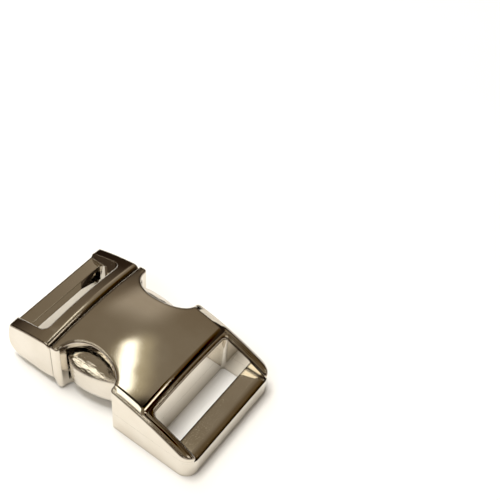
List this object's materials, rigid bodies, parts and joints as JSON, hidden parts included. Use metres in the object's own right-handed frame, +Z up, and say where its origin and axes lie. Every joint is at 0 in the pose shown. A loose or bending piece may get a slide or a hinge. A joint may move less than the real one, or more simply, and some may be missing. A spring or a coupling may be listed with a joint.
{
  "type": "paracord buckle",
  "caption": "Fastened side release buckle of polished metal for a cord bracelet, with a crowned housing, a clip with sprung arms and a cord slot at each end.",
  "frame": {"origin": "on the surface that it lies on, under the middle of the fastened buckle", "axes": "+X from the clip's tip to the housing's loop, +Y across the width, +Z up out of the crowned top"},
  "size_m": [0.0362, 0.021, 0.0108],
  "materials": {
    "female_housing": "polished nickel plating",
    "male_clip": "polished nickel plating"
  },
  "bodies": {
    "root": {"female_housing": "female_housing", "male_clip": "male_clip"}
  },
  "joints": []
}
